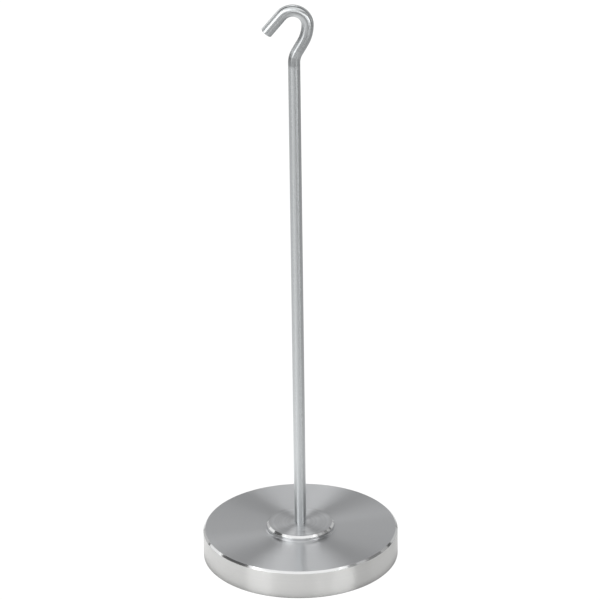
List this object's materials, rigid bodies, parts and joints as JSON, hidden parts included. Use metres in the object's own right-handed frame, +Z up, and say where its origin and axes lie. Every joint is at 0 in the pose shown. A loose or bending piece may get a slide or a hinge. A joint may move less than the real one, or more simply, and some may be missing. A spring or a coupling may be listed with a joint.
{
  "type": "weight hanger",
  "caption": "Free-standing hanger for slotted weights: a turned steel disc with a low centring boss, and an upright rod bent into an open hook at the top.",
  "frame": {"origin": "middle of the plate's underside, on the surface that the hanger stands on", "axes": "+Z up along the rod; the hook lies in the XZ plane and opens towards -X"},
  "size_m": [0.1, 0.1, 0.3],
  "materials": {
    "turned_steel": "fine-turned faces and wall, polished chamfers",
    "drawn_steel": "drawn bar, satin, with a faint lengthwise grain and fine marks from handling"
  },
  "bodies": {
    "root": {"base_plate": "turned_steel", "hook_rod": "drawn_steel"}
  },
  "joints": []
}
